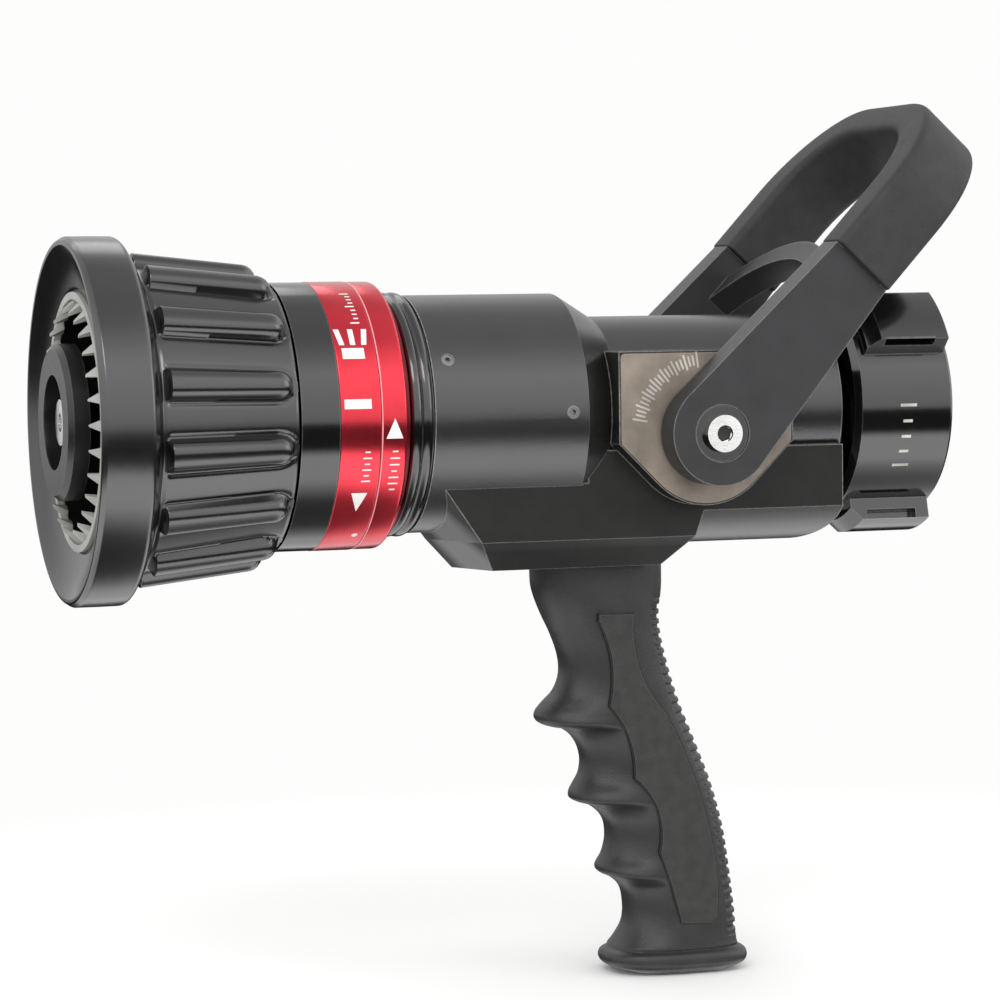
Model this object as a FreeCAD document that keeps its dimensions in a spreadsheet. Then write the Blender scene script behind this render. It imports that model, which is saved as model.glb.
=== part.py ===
import FreeCAD, Part
import math, os, re
from FreeCAD import Vector, Placement, Rotation

# Fire hose nozzle: pistol grip, bail-operated ball valve, flow selector ring and
# pattern sleeve.  Millimetres.  The flow axis is X with the stream towards -X, the
# hose face is at x = 0 and +Z is up.  The bail is shown open, leaning back.
os.makedirs("parts", exist_ok=True)
doc = FreeCAD.newDocument("nozzle")
sheet = doc.addObject("Spreadsheet::Sheet", "Sizes")

SIZES = {
    # stations along the flow axis (millimetres from the hose face)
    "coupling_front": -30.8, "body_rear": -33.5, "pivot_x": -79.1, "pivot_z": -6.0,
    "cone_rear": -103.7, "cone_front": -114.8, "body_front": -160.6, "bead_front": -168.2,
    "index_front": -177.2, "selector_front": -189.4, "sleeve_rear": -200.9,
    "skirt_front": -238.0, "rim_front": -259.3, "baffle_face": -262.0, "barrel_front": -232.0,
    # radii
    "rim_radius": 52.0, "skirt_front_radius": 43.5, "skirt_rear_radius": 38.5,
    "ring_radius": 38.4, "body_radius": 34.3, "neck_radius": 27.4, "keel_radius": 39.8,
    "coupling_radius": 32.6, "lug_radius": 38.6, "thread_radius": 25.3, "thread_depth": 18.0,
    "barrel_radius": 33.0, "barrel_bore": 29.0, "waterway_radius": 11.0, "ball_radius": 24.0,
    "stem_radius": 7.0, "tail_radius": 21.5, "baffle_radius": 22.0, "shaper_radius": 36.5,
    "shaper_bore": 34.3, "running_gap": 0.05,
    # valve body sides
    "body_half_width": 27.4, "boss_half_width": 34.5, "boss_top": 17.5, "boss_half_length": 26.8,
    # bail, measured along the arm from the pivot
    "bail_tilt": 42.8, "arm_inner": 36.5, "arm_outer": 46.5, "hub_radius": 15.0,
    "arm_half_depth": 10.4, "sleeve_start": 64.0, "sleeve_outer": 49.2, "sleeve_inner": 34.5,
    "sleeve_top": 121.3, "sleeve_inner_top": 110.0,
    # grip
    "grip_half_width": 14.5, "rib_count": 14, "tooth_count": 28,
}
for row, (alias, value) in enumerate(SIZES.items(), start=1):
    sheet.set("A%d" % row, alias.replace("_", " "))
    sheet.set("B%d" % row, str(value))
    sheet.setAlias("B%d" % row, alias)
doc.recompute()
ALIAS = re.compile(r"\b(" + "|".join(sorted(SIZES, key=len, reverse=True)) + r")\b")


def bind(obj, prop, formula):
    """Drive one property from the sheet; formula uses the sheet's aliases."""
    obj.setExpression(prop, ALIAS.sub(r"Sizes.\1", str(formula)))


def rod(x0, x1, radius, z=0):
    """Cylinder along the flow axis from x0 to x1."""
    obj = doc.addObject("Part::Cylinder", "rod")
    obj.Placement = Placement(Vector(0, 0, 0), Rotation(Vector(0, 1, 0), 90))
    bind(obj, "Placement.Base.x", x0)
    bind(obj, "Placement.Base.z", z)
    bind(obj, "Height", "(%s) - (%s)" % (x1, x0))
    bind(obj, "Radius", radius)
    return obj


def taper(x0, x1, r0, r1):
    """Cone frustum along the flow axis, radius r0 at x0 and r1 at x1."""
    obj = doc.addObject("Part::Cone", "taper")
    obj.Placement = Placement(Vector(0, 0, 0), Rotation(Vector(0, 1, 0), 90))
    bind(obj, "Placement.Base.x", x0)
    bind(obj, "Height", "(%s) - (%s)" % (x1, x0))
    bind(obj, "Radius1", r0)
    bind(obj, "Radius2", r1)
    return obj


def cross_rod(y0, y1, radius, x="pivot_x", z="pivot_z"):
    """Cylinder along Y from y0 to y1."""
    obj = doc.addObject("Part::Cylinder", "cross_rod")
    obj.Placement = Placement(Vector(0, 0, 0), Rotation(Vector(1, 0, 0), -90))
    bind(obj, "Placement.Base.x", x)
    bind(obj, "Placement.Base.y", y0)
    bind(obj, "Placement.Base.z", z)
    bind(obj, "Height", "(%s) - (%s)" % (y1, y0))
    bind(obj, "Radius", radius)
    return obj


def block(x0, x1, y0, y1, z0, z1):
    obj = doc.addObject("Part::Box", "block")
    for prop, low, high, axis in (("Length", x0, x1, "x"), ("Width", y0, y1, "y"), ("Height", z0, z1, "z")):
        bind(obj, "Placement.Base." + axis, low)
        bind(obj, prop, "(%s) - (%s)" % (high, low))
    return obj


def ball(x, y, z, radius):
    obj = doc.addObject("Part::Sphere", "ball")
    for axis, value in (("x", x), ("y", y), ("z", z)):
        bind(obj, "Placement.Base." + axis, value)
    bind(obj, "Radius", radius)
    return obj


def ring(x, radius, wire, z=0):
    """Torus about the flow axis."""
    obj = doc.addObject("Part::Torus", "ring")
    obj.Placement = Placement(Vector(0, 0, 0), Rotation(Vector(0, 1, 0), 90))
    bind(obj, "Placement.Base.x", x)
    bind(obj, "Placement.Base.z", z)
    bind(obj, "Radius1", radius)
    bind(obj, "Radius2", wire)
    return obj


def fuse(label, *items):
    obj = doc.addObject("Part::MultiFuse", label)
    obj.Shapes = list(items)
    obj.Refine = True
    return obj


def cut(label, base, *tools):
    tool = tools[0] if len(tools) == 1 else fuse(label + "_tools", *tools)
    obj = doc.addObject("Part::Cut", label)
    obj.Base, obj.Tool, obj.Refine = base, tool, True
    return obj


def common(label, one, other):
    obj = doc.addObject("Part::MultiCommon", label)
    obj.Shapes = [one, other]
    return obj


def turned(obj, degrees, about=None):
    """Turn an object about the flow axis (or a given placement axis)."""
    axis, centre = about or (Vector(1, 0, 0), Vector(0, 0, 0))
    carrier = doc.addObject("Part::Compound", "turned")
    carrier.Links = [obj]
    carrier.Placement = Placement(Vector(0, 0, 0), Rotation(axis, degrees), centre)
    return carrier


def plate(label, points, y0, y1):
    """Outline in the XZ plane, straight edges or (mid, end) arcs, extruded from y0 to y1."""
    sketch = doc.addObject("Sketcher::SketchObject", label + "_outline")
    sketch.Placement = Placement(Vector(0, 0, 0), Rotation(Vector(1, 0, 0), 90))
    bind(sketch, "Placement.Base.y", y1)
    here = first = Vector(points[0][0], points[0][1], 0)
    for step in points[1:] + [points[0]]:
        if len(step) == 4:
            end = Vector(step[2], step[3], 0)
            sketch.addGeometry(Part.Arc(here, Vector(step[0], step[1], 0), end), False)
        else:
            end = Vector(step[0], step[1], 0)
            if (end - here).Length < 1e-6:
                continue
            sketch.addGeometry(Part.LineSegment(here, end), False)
        here = end
    obj = doc.addObject("Part::Extrusion", label)
    obj.Base, obj.DirMode, obj.Dir, obj.Solid = sketch, "Custom", Vector(0, -1, 0), True
    bind(obj, "LengthFwd", "(%s) - (%s)" % (y1, y0))
    return obj


def frustum_block(label, lower, upper, z0, z1):
    """Ruled solid between two XY outlines at heights z0 and z1."""
    sections = []
    for outline, z in ((lower, z0), (upper, z1)):
        wire = doc.addObject("Part::Polygon", label + "_section")
        wire.Nodes = [Vector(x, y, z) for x, y in outline]
        wire.Close = True
        sections.append(wire)
    obj = doc.addObject("Part::Loft", label)
    obj.Sections, obj.Solid, obj.Ruled = sections, True, True
    return obj


NODES = []


def node(obj, label):
    obj.Label = label
    NODES.append(obj)
    return obj


# ---------------------------------------------------------------- valve body
def make_valve_body():
    front = rod("body_front", "cone_front", "body_radius")
    shoulder = taper("cone_front", "cone_rear", "body_radius", "neck_radius")
    neck = rod("cone_rear", "body_rear", "neck_radius")
    # keel below the neck: part of a larger cylinder between two side flats
    keel = common("keel", rod("cone_front + 2", "body_rear", "keel_radius"),
                  block("cone_front", "body_rear", "-body_half_width", "body_half_width", -41, -10.8))
    heel = plate("heel_cut", [(-42, -39.9), (-36.4, -37.4, -33.5, -31), (-33.4, -41), (-42, -41)], -30, 30)
    px, pz = SIZES["pivot_x"], SIZES["pivot_z"]
    half, top = SIZES["boss_half_length"], SIZES["boss_top"]
    slant = 21.0 * math.sqrt(0.5)
    corner = pz - 21.0 * math.sqrt(2) + half
    boss = plate("pivot_boss",
                 [(px - half, top), (px - half, corner), (px - slant, pz - slant),
                  (px, pz - 21.0, px + slant, pz - slant), (px + half, corner), (px + half, top)],
                 "-boss_half_width", "boss_half_width")
    sides = [-27.4, 27.4]
    pad = frustum_block("pad", [(-153.5, 0), (-145.2, sides[0]), (-80, sides[0]), (-80, sides[1]), (-145.2, sides[1])],
                        [(-165.5, 0), (-156.3, sides[0]), (-74, sides[0]), (-74, sides[1]), (-156.3, sides[1])],
                        -36.2, -20)
    foot = frustum_block("pad_foot", [(-145.5, 0), (-139.5, -19.5), (-88, -19.5), (-88, 19.5), (-139.5, 19.5)],
                         [(-153.5, 0), (-145.2, -27.4), (-80, -27.4), (-80, 27.4), (-145.2, 27.4)],
                         -44.8, -36.2)
    grown = common("pad_trimmed", fuse("pad_and_foot", pad, foot), block("body_front", -60, -40, 40, -50, -10))
    blank = fuse("casting_blank", front, shoulder, neck, keel, boss, grown)
    chamber = rod("pivot_x", "body_rear + 1", "ball_radius + 0.4", "pivot_z")
    dome = ball("pivot_x", 0, "pivot_z", "ball_radius + 0.4")
    seat_pocket = rod("pivot_x - 30", "pivot_x - 15", 16.05)
    waterway = rod("body_front - 1", "pivot_x - 20", "waterway_radius + 1")
    barrel_socket = rod("body_front - 1", -130, 30)
    stem_hole = cross_rod("-boss_half_width - 1", "boss_half_width + 1", "stem_radius + 2.05")
    grip_socket = doc.addObject("Part::Cylinder", "grip_socket")
    grip_socket.Radius, grip_socket.Height = 4.05, 9
    grip_socket.Placement = Placement(Vector(-101, 0, -45.5), Rotation())
    screws = [radial_rod(-155.5, 28, 31.5, 36, 1.65), radial_rod(-119.6, 1, 31.5, 36, 1.65)]
    obj = cut("valve_body_solid", blank, heel, chamber, dome, seat_pocket, waterway, barrel_socket,
              stem_hole, grip_socket, *screws)
    node(obj, "valve_body")


def radial_rod(x, degrees, r0, r1, radius):
    """Small cylinder standing radially; 0 degrees is the -Y side, 90 is up."""
    obj = doc.addObject("Part::Cylinder", "radial_rod")
    obj.Radius, obj.Height = radius, r1 - r0
    way = Vector(0, -math.cos(math.radians(degrees)), math.sin(math.radians(degrees)))
    obj.Placement = Placement(Vector(x, 0, 0) + way * r0, Rotation(Vector(0, 0, 1), way))
    return obj


def make_body_trim():
    for label, x, degrees in (("set_screw_front", -155.5, 28), ("set_screw_rear", -119.6, 1)):
        screw = cut(label + "_solid", radial_rod(x, degrees, 31.6, 34.1, 1.6), radial_rod(x, degrees, 33, 36, 0.8))
        node(screw, label)
    bead = fuse("bead_solid", rod("bead_front", "body_front - 0.1", 33.6),
                ring("bead_front + 2.2", 33.3, 1.9), ring("body_front - 2.3", 33.3, 1.9))
    node(cut("bead_ring_solid", bead, rod("bead_front - 2", "body_front + 2", "barrel_radius - 1")), "bead_ring")


# ------------------------------------------------------- valve seats and tail
def make_valve_internals():
    sphere = ball("pivot_x", 0, "pivot_z", "ball_radius + 0.05")
    front = cut("front_seat_solid", rod("pivot_x - 27.5", "pivot_x - 16", 16), sphere,
                rod("pivot_x - 40", "pivot_x", "waterway_radius + 1"))
    node(front, "front_seat")
    spring = cut("seat_spring_solid", rod("pivot_x - 29.9", "pivot_x - 27.6", 15.9),
                 rod("pivot_x - 31", "pivot_x - 27", 13.2))
    node(spring, "seat_spring")
    sphere = ball("pivot_x", 0, "pivot_z", "ball_radius + 0.05")
    rear = cut("rear_seat_solid", rod("pivot_x + 16", "pivot_x + 27.5", 16), sphere,
               rod("pivot_x", "pivot_x + 40", "waterway_radius + 1"))
    node(rear, "rear_seat")
    plug = rod("pivot_x + 24.6", "body_rear + 1", "ball_radius + 0.3", "pivot_z")
    spigot = rod("body_rear", -21.5, "tail_radius - 3.4")
    journal = rod("body_rear", -23.2, "tail_radius - 3")
    bore = rod("pivot_x", 1, "waterway_radius + 1")
    pocket = rod("pivot_x + 15", "pivot_x + 27.6", 16.05)
    groove = cut("retainer_groove", rod("coupling_front + 3.4", "coupling_front + 5.2", "tail_radius"),
                 rod("coupling_front + 2", "coupling_front + 6", "tail_radius - 4"))
    tail = cut("tail_stem_solid", fuse("tail_blank", plug, spigot, journal), bore, pocket, groove)
    node(tail, "tail_stem")
    retainer = cut("swivel_retainer_solid", rod("coupling_front + 3.5", "coupling_front + 5.1", "tail_radius - 3.05"),
                   rod("coupling_front", "coupling_front + 8", "tail_radius - 3.9"))
    node(retainer, "swivel_retainer")


def make_ball_and_stems():
    bore = rod("pivot_x - 40", "pivot_x + 40", "waterway_radius")
    poles = cross_rod(-40, 40, "stem_radius + 0.05")
    core = cross_rod(-17.95, 17.95, "stem_radius + 1")
    node(cut("valve_ball_solid", ball("pivot_x", 0, "pivot_z", "ball_radius"), bore,
             cut("pole_bores", poles, core)), "valve_ball")
    for side, sign in (("near", -1), ("far", 1)):
        def along(low, high, radius):
            ends = (low, high) if sign > 0 else ("-(%s)" % high, "-(%s)" % low)
            return cross_rod(ends[0], ends[1], radius)
        stem = fuse("stem_blank", along(18, 34.6, "stem_radius"), along(34.6, 43, 6))
        groove = doc.addObject("Part::Torus", "stem_groove")
        o_ring = doc.addObject("Part::Torus", "stem_o_ring_torus")
        for torus, wire in ((groove, 1.1), (o_ring, 1.0)):
            torus.Radius1, torus.Radius2 = 5.95, wire
            torus.Placement = Placement(Vector(0, 0, 0), Rotation(Vector(1, 0, 0), 90))
            bind(torus, "Placement.Base.x", "pivot_x")
            bind(torus, "Placement.Base.y", 30 * sign)
            bind(torus, "Placement.Base.z", "pivot_z")
        tapped = along(32, 44, 3.05)
        node(cut("stem_%s_solid" % side, stem, groove, tapped), "stem_" + side)
        node(o_ring, "stem_o_ring_" + side)
        node(cut("bushing_%s_solid" % side, along(25.2, 34.5, "stem_radius + 2"),
                 along(20, 40, "stem_radius + running_gap")), "stem_bushing_" + side)
        node(cut("thrust_%s_solid" % side, along(34.85, 36.45, 12.5), along(30, 40, 6.1)), "thrust_washer_" + side)
        node(cut("washer_%s_solid" % side, along(44.6, 46, 8), along(40, 50, 3.1)), "bail_washer_" + side)
        head = fuse("screw_blank", along(33, 46.05, 3), along(46.05, 48.4, 5.3))
        socket = along(46.9, 49, 2.4)
        node(cut("bail_screw_%s_solid" % side, head, socket), "bail_screw_" + side)


# ----------------------------------------------------------------------- bail
def arch(label, half_width, top, corner, base, half_depth):
    """Rounded-top arch standing on z = base, in the YZ plane, depth along X."""
    sketch = doc.addObject("Sketcher::SketchObject", label + "_outline")
    sketch.Placement = Placement(Vector(-half_depth, 0, 0), Rotation(0.5, 0.5, 0.5, 0.5))
    w, t, r, k = half_width, top, corner, corner * (1 - math.sqrt(0.5))
    points = [Vector(-w, base, 0), Vector(w, base, 0), Vector(w, t - r, 0), Vector(w - r, t, 0),
              Vector(-w + r, t, 0), Vector(-w, t - r, 0)]
    sketch.addGeometry(Part.LineSegment(points[0], points[1]), False)
    sketch.addGeometry(Part.LineSegment(points[1], points[2]), False)
    sketch.addGeometry(Part.Arc(points[2], Vector(w - k, t - k, 0), points[3]), False)
    sketch.addGeometry(Part.LineSegment(points[3], points[4]), False)
    sketch.addGeometry(Part.Arc(points[4], Vector(-w + k, t - k, 0), points[5]), False)
    sketch.addGeometry(Part.LineSegment(points[5], points[0]), False)
    obj = doc.addObject("Part::Extrusion", label)
    obj.Base, obj.DirMode, obj.Dir, obj.Solid = sketch, "Custom", Vector(1, 0, 0), True
    obj.LengthFwd = 2 * half_depth
    return obj


def tilted(label, obj):
    """Carry a piece built upright about the origin to the pivot, leaning back."""
    carrier = doc.addObject("Part::Compound", label)
    carrier.Links = [obj]
    carrier.Placement = Placement(Vector(0, 0, 0), Rotation(Vector(0, 1, 0), SIZES["bail_tilt"]))
    bind(carrier, "Placement.Base.x", "pivot_x")
    bind(carrier, "Placement.Base.z", "pivot_z")
    bind(carrier, "Placement.Rotation.Angle", "bail_tilt")
    return carrier


def single_solid(label, source):
    """Keep the one solid of a carried piece."""
    obj = doc.addObject("Part::MultiCommon", label)
    reach = doc.addObject("Part::Box", label + "_reach")
    reach.Length, reach.Width, reach.Height = 600, 300, 600
    reach.Placement = Placement(Vector(-400, -150, -300), Rotation())
    obj.Shapes = [source, reach]
    return obj


def make_bail():
    start = SIZES["sleeve_start"]
    core = cut("bail_core", arch("core_outer", 46.5, 116, 33, start - 1, 7.8),
               arch("core_inner", 38, 112, 25.5, start - 2, 9))
    arms = []
    for y0, y1 in (("-arm_outer", "-arm_inner"), ("arm_inner", "arm_outer")):
        flank = plate("arm", [(-15, 0), (15, 0), (10.4, start), (-10.4, start)], y0, y1)
        arms += [flank, cross_rod(y0, y1, "hub_radius", 0, 0)]
    bridge_outer = common("bridge_blank", depth_rod(16.4, 54.6, 4), block(-5, 5, -37, 37, 44, 80))
    bridge = cut("bridge", bridge_outer, depth_rod(14.4, 49.6, 6))
    blank = fuse("bail_blank", core, bridge, *arms)
    seats = [cross_rod(-50, 50, 6.05, 0, 0)]
    for y0, y1 in ((-50, -44.55), (44.55, 50)):
        seats.append(cross_rod(y0, y1, 8.1, 0, 0))
    frame = cut("bail_frame_upright", blank, *seats)
    node(single_solid("bail_frame_solid", tilted("bail_frame_tilted", frame)), "bail_frame")
    skin = cut("sleeve_skin", arch("skin_outer", 49.2, 119.5, 35, start + 0.1, 10.8),
               arch("skin_inner", 34.5, 108.5, 22.5, start - 1, 12))
    hollow = cut("sleeve_hollow", arch("hollow_outer", 46.55, 116.05, 33, start - 1, 7.85),
                 arch("hollow_inner", 37.95, 111.95, 25.5, start - 2, 9))
    sleeve = cut("bail_sleeve_upright", skin, hollow)
    node(single_solid("bail_sleeve_solid", tilted("bail_sleeve_tilted", sleeve)), "bail_sleeve")


def depth_rod(z, radius, half_depth):
    """Cylinder along X through (y = 0, z)."""
    return rod(-half_depth, half_depth, radius, z)


# ------------------------------------------------------------- barrel and tip
def make_barrel():
    blank = fuse("barrel_blank", rod("barrel_front", "body_front", "barrel_radius"), rod("body_front", -130.1, 29.95))
    blank = cut("barrel_stepped", blank, cut("neck_ring", rod("bead_front", "body_front", 40),
                                             rod(-169, -150, "barrel_radius - 1.05")))
    bore = rod("barrel_front - 1", -190, "barrel_bore")
    throat = taper(-190.01, -150, "barrel_bore", 24)
    outlet = rod(-150.01, -129, 24)
    groove = ring(-218, "barrel_radius", 1.3)
    node(cut("barrel_solid", blank, bore, throat, outlet, groove), "barrel")
    seal = common("barrel_seal", ring(-218, "barrel_radius", 1.2), rod(-225, -210, "barrel_radius - 0.05"))
    node(seal, "barrel_o_ring")
    index = fuse("index_blank", rod("index_front", -170.6, "ring_radius"),
                 taper(-170.6, "bead_front - 0.1", "ring_radius", 35.8))
    node(cut("index_ring_solid", index, rod(-180, -160, "barrel_radius + 0.05")), "index_ring")


def make_flow_group():
    sleeve = fuse("flow_blank", rod("sleeve_rear + 0.4", "selector_front", "ring_radius"),
                  rod("selector_front", "index_front - 0.4", 35.4))
    node(cut("flow_sleeve_solid", sleeve, rod(-210, -160, "barrel_radius + running_gap")), "flow_sleeve")
    node(cut("flow_band_solid", rod("selector_front + 0.05", "index_front - 0.4", "ring_radius + 0.1"),
             rod(-200, -160, 35.45)), "flow_band")
    lip = cut("orifice_blank", rod(-228, -206, "barrel_bore - running_gap"), rod(-224, -200, 25.5))
    node(cut("orifice_solid", lip, rod(-230, -200, 18)), "orifice_sleeve")


def make_baffle():
    hub = rod(-200, -191, 8)
    spokes = [block(-199, -192, -28.9, 28.9, -1.6, 1.6), block(-199, -192, -1.6, 1.6, -28.9, 28.9)]
    rim = cut("spider_rim", rod(-199.5, -191.5, "barrel_bore - 0.05"), rod(-205, -185, 26.2))
    star = common("spider_star", fuse("spokes", *spokes), rod(-200, -190, 27))
    stem = rod(-251, -199, 5.5)
    node(cut("baffle_stem_solid", fuse("stem_star", hub, star, rim, stem), rod(-260, -232, 3.05)), "baffle_stem")
    head = fuse("head_blank", rod("baffle_face + 1.5", -256, "baffle_radius"),
                taper("baffle_face", "baffle_face + 1.5", "baffle_radius - 1.5", "baffle_radius"),
                taper(-256, -249, "baffle_radius", 9))
    head = cut("baffle_head_solid", head, rod(-270, "baffle_face + 5", 13.4), rod(-270, -240, 3.1),
               rod(-251.05, -240, 5.55))
    node(head, "baffle_head")
    screw = fuse("baffle_screw_blank", rod("baffle_face + 2", "baffle_face + 4.95", 6.5), rod("baffle_face + 4.9", -240, 3))
    socket = rod("baffle_face + 1", "baffle_face + 3.6", 2.6)
    node(cut("baffle_screw_solid", screw, socket), "baffle_screw")


# -------------------------------------------------------------- pattern sleeve
def make_pattern_group():
    guide = cut("guide_blank", rod(-226, -220.5, "shaper_bore - running_gap"),
                rod(-230, -210, "barrel_radius + running_gap"))
    node(guide, "pattern_guide")
    shaper = rod(-254, "sleeve_rear", "shaper_radius")
    node(cut("shaper_solid", shaper, rod(-260, -190, "shaper_bore")), "shaper")
    flange = fuse("rim_blank", rod("rim_front + 1.5", -243, "rim_radius"),
                  taper("rim_front", "rim_front + 1.5", "rim_radius - 1.5", "rim_radius"),
                  taper(-243, "skirt_front", "rim_radius", 46))
    skirt = taper("skirt_front - 1", "sleeve_rear", "skirt_front_radius + 0.1", "skirt_rear_radius")
    envelope = taper("skirt_front - 1", -202.8, 47.2, 43.4)
    bars = []
    for index in range(SIZES["rib_count"]):
        bar = fuse("rib", block("skirt_front - 1", -207.5, -4.6, 4.6, 30, 50), rib_end(-207.5, 4.6))
        bars.append(turned(bar, index * 360.0 / SIZES["rib_count"] + 75.5))
    ribs = common("ribs", fuse("rib_bars", *bars), envelope)
    blank = fuse("bumper_blank", flange, skirt, ribs)
    dish = taper("rim_front - 0.2", -255.1, 50.4, 38.2)
    recess = rod(-262, -255.1, 38.2)
    node(cut("bumper_solid", blank, rod(-262, -190, "shaper_radius + 0.05"), dish, recess), "bumper")


def rib_end(x, radius):
    """Upright cylinder that rounds one rib's rear end."""
    obj = doc.addObject("Part::Cylinder", "rib_end")
    obj.Radius, obj.Height = radius, 20
    obj.Placement = Placement(Vector(x, 0, 30), Rotation())
    return obj


def make_teeth():
    """Fog teeth: a thin ring with small pointed teeth that lean inwards and towards the stream."""
    count = SIZES["tooth_count"]
    band = cut("tooth_band", rod(-256, -254.1, "shaper_radius"), rod(-262, -240, 34.4))
    teeth = []
    for index in range(count):
        sections = []
        for x, half, outer, inner in ((-254.2, 2.3, 35.2, 32.2), (-258.4, 0.35, 31.4, 30.5)):
            wire = doc.addObject("Part::Polygon", "tooth_section")
            wire.Nodes = [Vector(x, -half, outer), Vector(x, half, outer), Vector(x, half * 0.5, inner),
                          Vector(x, -half * 0.5, inner)]
            wire.Close = True
            sections.append(wire)
        tooth = doc.addObject("Part::Loft", "tooth")
        tooth.Sections, tooth.Solid, tooth.Ruled = sections, True, True
        tooth.Placement = Placement(Vector(0, 0, 0), Rotation(Vector(1, 0, 0), index * 360.0 / count))
        teeth.append(tooth)
    node(fuse("fog_teeth_solid", band, *teeth), "fog_teeth")


# -------------------------------------------------------------- swivel coupling
def make_swivel():
    shell = fuse("coupling_shell", rod("coupling_front + 1.5", -1, "coupling_radius"),
                 taper("coupling_front", "coupling_front + 1.5", "coupling_radius - 2.2", "coupling_radius"),
                 taper(-1, 0, "coupling_radius", "coupling_radius - 1"))
    lugs = []
    for angle in (-75, 45, 165):
        lug = block("coupling_front + 4", -1, -40, -28, -9.5, 9.5)
        crest = fuse("lug_crest", rod("coupling_front + 7.5", -1.8, "lug_radius"),
                     taper("coupling_front + 3.5", "coupling_front + 7.5", 34.6, "lug_radius"))
        shaped = common("lug", lug, crest)
        slot = block("coupling_front + 9", -6, -37.4, -34.6, -11, -6.5)
        slot2 = block("coupling_front + 9", -6, -37.4, -34.6, 6.5, 11)
        lugs.append(turned(cut("lug_slotted", shaped, slot, slot2), -angle))
    blank = fuse("coupling_blank", shell, *lugs)
    thread = rod("-thread_depth", 1, "thread_radius")
    seat = rod(-21.4, "-thread_depth + 0.01", "thread_radius + 0.7")
    journal = rod("coupling_front - 1", -21, "tail_radius - 3 + running_gap")
    plug_hole = radial_rod(-26, 110, 25, 40, 2.55)
    node(cut("coupling_solid", blank, thread, seat, journal, plug_hole), "swivel_coupling")
    gasket = cut("gasket_solid", rod(-21.3, "-thread_depth - 0.1", "thread_radius + 0.6"), rod(-25, -15, 17.5))
    node(gasket, "hose_gasket")
    plug = cut("plug_solid", radial_rod(-26, 110, 26, 32.3, 2.5), radial_rod(-26, 110, 31, 34, 1.2))
    node(plug, "swivel_plug")


# ------------------------------------------------------------------ pistol grip
def make_grip():
    outline = [(-120.8, -44.9), (-119.8, -58, -113.2, -72.5), (-113.4, -82, -120.2, -87.6),
               (-119.6, -93, -112.6, -93.4), (-106.8, -102, -109.4, -112.6), (-108.6, -116.4, -103.4, -117),
               (-99.2, -126, -101.6, -136), (-99.5, -138.6, -96, -140), (-92.8, -150, -97.5, -158.2),
               (-101.2, -160.5, -100.4, -163.4), (-96, -165.4, -88, -166.2), (-70, -166.5),
               (-60, -166.2, -56, -163.4), (-56.2, -161.2, -58.4, -159.4), (-59.6, -140, -64.2, -117.5),
               (-73, -95, -80.2, -73), (-82, -62, -81.9, -52), (-81.9, -44.9)]
    slab = plate("grip_slab", outline, "-grip_half_width", "grip_half_width")
    full = common("grip_blank", slab, grip_envelope())
    flare = plate("base_slab", [(-100.6, -160), (-57.5, -160), (-56, -163.4), (-60, -166.4), (-88, -166.4),
                                (-97, -165.2), (-100.9, -162.8)], -17, 17)
    foot = doc.addObject("Part::Extrusion", "base_column")
    foot.Base, foot.DirMode, foot.Dir = grip_section(-170, -101.5, -56, 16, 11.5), "Custom", Vector(0, 0, 1)
    foot.LengthFwd, foot.Solid = 12, True
    flare = common("grip_base", flare, foot)
    blank = fuse("grip_fused", full, flare)
    inset = panel_outline(0.2)
    near = plate("panel_pocket_near", inset, -18, -13.2)
    far = plate("panel_pocket_far", inset, 13.2, 18)
    bolt_hole = doc.addObject("Part::Cylinder", "bolt_hole")
    bolt_hole.Radius, bolt_hole.Height = 3.05, 95
    bolt_hole.Placement = Placement(Vector(-101, 0, -130), Rotation())
    stud_hole = doc.addObject("Part::Cylinder", "stud_hole")
    stud_hole.Radius, stud_hole.Height = 4.05, 26
    stud_hole.Placement = Placement(Vector(-101, 0, -70), Rotation())
    node(cut("grip_shell_solid", blank, near, far, stud_hole), "grip_shell")
    node(plate("panel_near", panel_outline(0), -14.9, -13.25), "grip_panel_near")
    node(plate("panel_far", panel_outline(0), 13.25, 14.9), "grip_panel_far")
    stud = doc.addObject("Part::Cylinder", "grip_stud_rod")
    stud.Radius, stud.Height = 4, 31.5
    stud.Placement = Placement(Vector(-101, 0, -69), Rotation())
    node(stud, "grip_stud")


def grip_section(z, front, rear, half_width, corner):
    """Round-cornered rectangle across the grip at height z."""
    w, r, k = half_width, corner, corner * (1 - math.sqrt(0.5))
    quarter = [(front, -w + r), (front + k, -w + k), (front + r, -w), (rear - r, -w), (rear - k, -w + k), (rear, -w + r)]
    p = [Vector(x, y, 0) for x, y in quarter + [(front + rear - x, -y) for x, y in quarter]]
    sketch = doc.addObject("Sketcher::SketchObject", "grip_section")
    sketch.Placement = Placement(Vector(0, 0, z), Rotation())
    for a in (0, 3, 6, 9):
        sketch.addGeometry(Part.Arc(p[a], p[a + 1], p[a + 2]), False)
        sketch.addGeometry(Part.LineSegment(p[a + 2], p[(a + 3) % 12]), False)
    return sketch


def grip_envelope():
    """Round-cornered column, lofted down the grip, that rounds the slab's long edges."""
    stations = [(-44, -122.5, -82), (-60, -121.5, -82), (-80, -121.5, -77.5), (-100, -119.5, -70.5),
                (-120, -112, -63.8), (-140, -106, -59.8), (-169, -103.5, -56.5)]
    loft = doc.addObject("Part::Loft", "grip_envelope")
    loft.Sections = [grip_section(z, front, rear, SIZES["grip_half_width"] + 0.02, 10.5)
                     for z, front, rear in stations]
    loft.Solid, loft.Ruled = True, False
    return loft


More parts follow.
